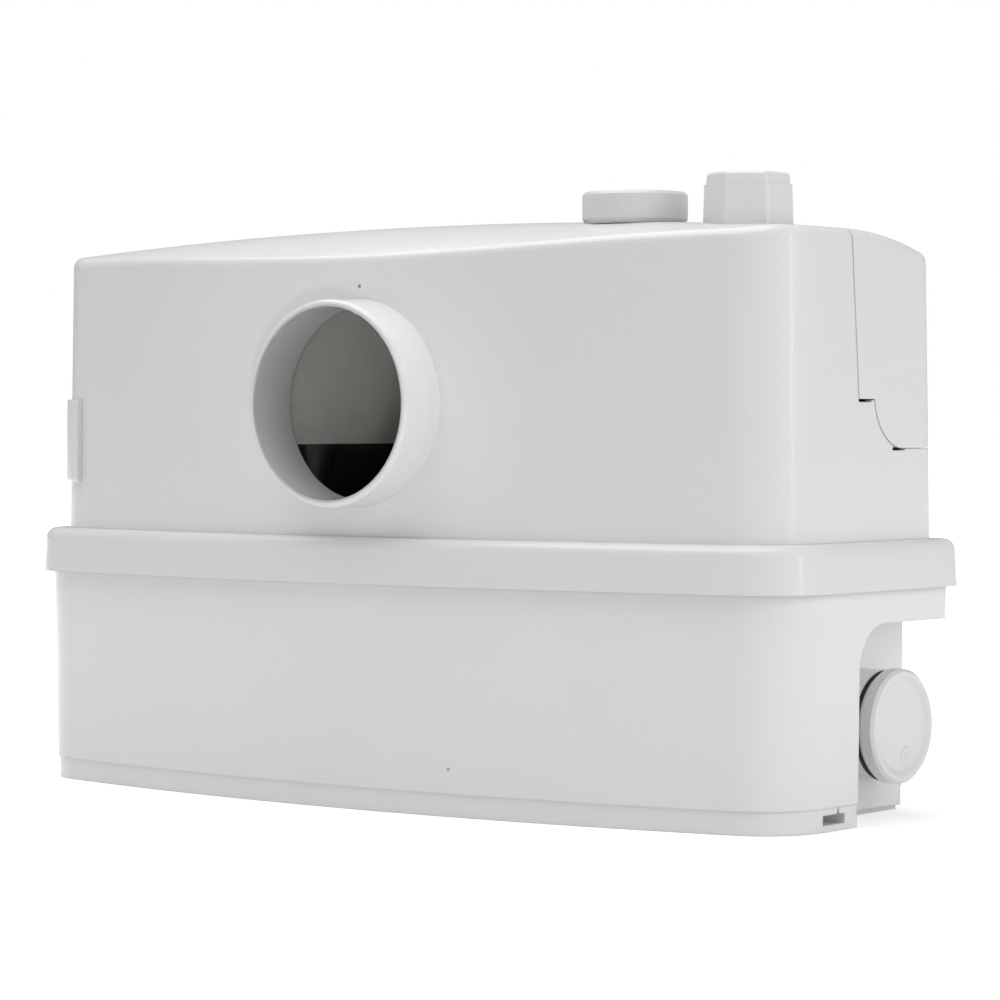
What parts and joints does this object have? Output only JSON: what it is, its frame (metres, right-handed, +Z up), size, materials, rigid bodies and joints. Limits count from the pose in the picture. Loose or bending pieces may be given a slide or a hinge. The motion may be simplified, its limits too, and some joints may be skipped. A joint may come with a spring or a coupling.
{
  "type": "sewage lifting station",
  "caption": "Compact floor-standing sewage lifting station: tank, hood with toilet inlet spigot, capped side and top inlets, upright discharge, macerator pump inside.",
  "frame": {"origin": "on the floor, under the middle of the tank's width, in the plane midway between its front corners and its back", "axes": "+X to the right seen from the inlet side, along the longest side; -Y is the side with the toilet inlet; +Z up"},
  "size_m": [0.534, 0.2075, 0.333],
  "materials": {
    "shell_plastic": "glossy white moulded plastic",
    "cap_plastic": "glossy white moulded plastic, screw caps and nut",
    "inner_plastic": "black moulded plastic",
    "pipe_plastic": "grey pressure pipe",
    "rubber": "black elastomer",
    "steel": "stainless steel",
    "motor_metal": "dark painted motor shell",
    "iron": "laminated core steel",
    "guard_plastic": "pale grey moulded plastic",
    "capacitor_shell": "pale plastic can"
  },
  "bodies": {
    "housing": {"tank": "shell_plastic", "hood": "shell_plastic", "tank_seal": "rubber", "discharge_pipe": "pipe_plastic", "check_valve_body": "pipe_plastic", "check_valve_pin": "steel", "discharge_riser": "pipe_plastic", "right_flap_pin": "steel", "left_flap_pin": "steel", "pump_volute": "inner_plastic", "slotted_basket": "inner_plastic", "motor_can": "motor_metal", "motor_end_cap": "motor_metal", "motor_stator": "iron", "lower_bearing": "steel", "upper_bearing": "steel", "shaft_seal": "rubber", "motor_mount_ring": "rubber", "deck_plate": "inner_plastic", "deck_screws": "steel", "inlet_chute": "inner_plastic", "inlet_shroud": "guard_plastic", "control_box": "inner_plastic", "control_lid": "inner_plastic", "start_capacitor": "capacitor_shell", "capacitor_clip": "inner_plastic", "dip_tube": "pipe_plastic", "pressure_switch": "inner_plastic", "vent_filter": "inner_plastic", "cable_gland": "inner_plastic"},
    "rotor": {"rotor_shaft": "steel", "rotor_core": "iron", "impeller": "inner_plastic", "macerator_cutter": "steel"},
    "top_washer": {"top_inlet_washer": "rubber"},
    "top_cap": {"top_inlet_cap": "cap_plastic"},
    "right_washer": {"right_inlet_washer": "rubber"},
    "right_cap": {"right_inlet_cap": "cap_plastic"},
    "left_washer": {"left_inlet_washer": "rubber"},
    "left_cap": {"left_inlet_cap": "cap_plastic"},
    "outlet_seal": {"discharge_seal": "rubber"},
    "outlet_nut": {"discharge_nut": "cap_plastic"},
    "cover": {"service_cover": "shell_plastic"},
    "valve_flap": {"check_valve_flap": "rubber"},
    "right_flap": {"right_inlet_flap": "rubber"},
    "left_flap": {"left_inlet_flap": "rubber"},
    "plunger": {"switch_plunger": "cap_plastic"}
  },
  "joints": [
    {"name": "rotor_spin", "type": "hinge", "parent": "housing", "child": "rotor", "pos_m": [-0.118, 0, 0.1], "axis": [0, 0, 1], "continuous": true},
    {"name": "cover_lift_off", "type": "slide", "parent": "housing", "child": "cover", "axis": [0, 1, 0], "range_m": [0, 0.08]},
    {"name": "check_valve_swing", "type": "hinge", "parent": "housing", "child": "valve_flap", "pos_m": [0.1945, -0.038, 0.1396], "axis": [0, -1, 0], "range_deg": [0, 62]},
    {"name": "right_flap_swing", "type": "hinge", "parent": "housing", "child": "right_flap", "pos_m": [0.2246, 0.04, 0.075], "axis": [0, 1, 0], "range_deg": [0, 65]},
    {"name": "left_flap_swing", "type": "hinge", "parent": "housing", "child": "left_flap", "pos_m": [-0.2246, 0.04, 0.075], "axis": [0, -1, 0], "range_deg": [0, 65]},
    {"name": "plunger_travel", "type": "slide", "parent": "housing", "child": "plunger", "axis": [0, 0, 1], "range_m": [0, 0.003]},
    {"name": "top_cap_rise", "type": "slide", "parent": "housing", "child": "top_washer", "axis": [0, 0, 1], "range_m": [0, 0.009]},
    {"name": "top_cap_turn", "type": "hinge", "parent": "top_washer", "child": "top_cap", "pos_m": [0.141, -0.038, 0.318], "axis": [0, 0, 1], "range_deg": [0, 1080]},
    {"name": "right_cap_rise", "type": "slide", "parent": "housing", "child": "right_washer", "axis": [1, 0, 0], "range_m": [0, 0.006]},
    {"name": "right_cap_turn", "type": "hinge", "parent": "right_washer", "child": "right_cap", "pos_m": [0.2515, 0.04, 0.048], "axis": [1, 0, 0], "range_deg": [0, 720]},
    {"name": "left_cap_rise", "type": "slide", "parent": "housing", "child": "left_washer", "axis": [-1, 0, 0], "range_m": [0, 0.006]},
    {"name": "left_cap_turn", "type": "hinge", "parent": "left_washer", "child": "left_cap", "pos_m": [-0.2515, 0.04, 0.048], "axis": [-1, 0, 0], "range_deg": [0, 720]},
    {"name": "outlet_nut_rise", "type": "slide", "parent": "housing", "child": "outlet_seal", "axis": [0, 0, 1], "range_m": [0, 0.012]},
    {"name": "outlet_nut_turn", "type": "hinge", "parent": "outlet_seal", "child": "outlet_nut", "pos_m": [0.212, -0.038, 0.318], "axis": [0, 0, 1], "range_deg": [0, 1440]}
  ],
  "couplings": [
    {"joint": "top_cap_rise", "follows": "top_cap_turn", "m_per_rad": 0.00047746},
    {"joint": "right_cap_rise", "follows": "right_cap_turn", "m_per_rad": 0.00047746},
    {"joint": "left_cap_rise", "follows": "left_cap_turn", "m_per_rad": 0.00047746},
    {"joint": "outlet_nut_rise", "follows": "outlet_nut_turn", "m_per_rad": 0.00047746}
  ]
}
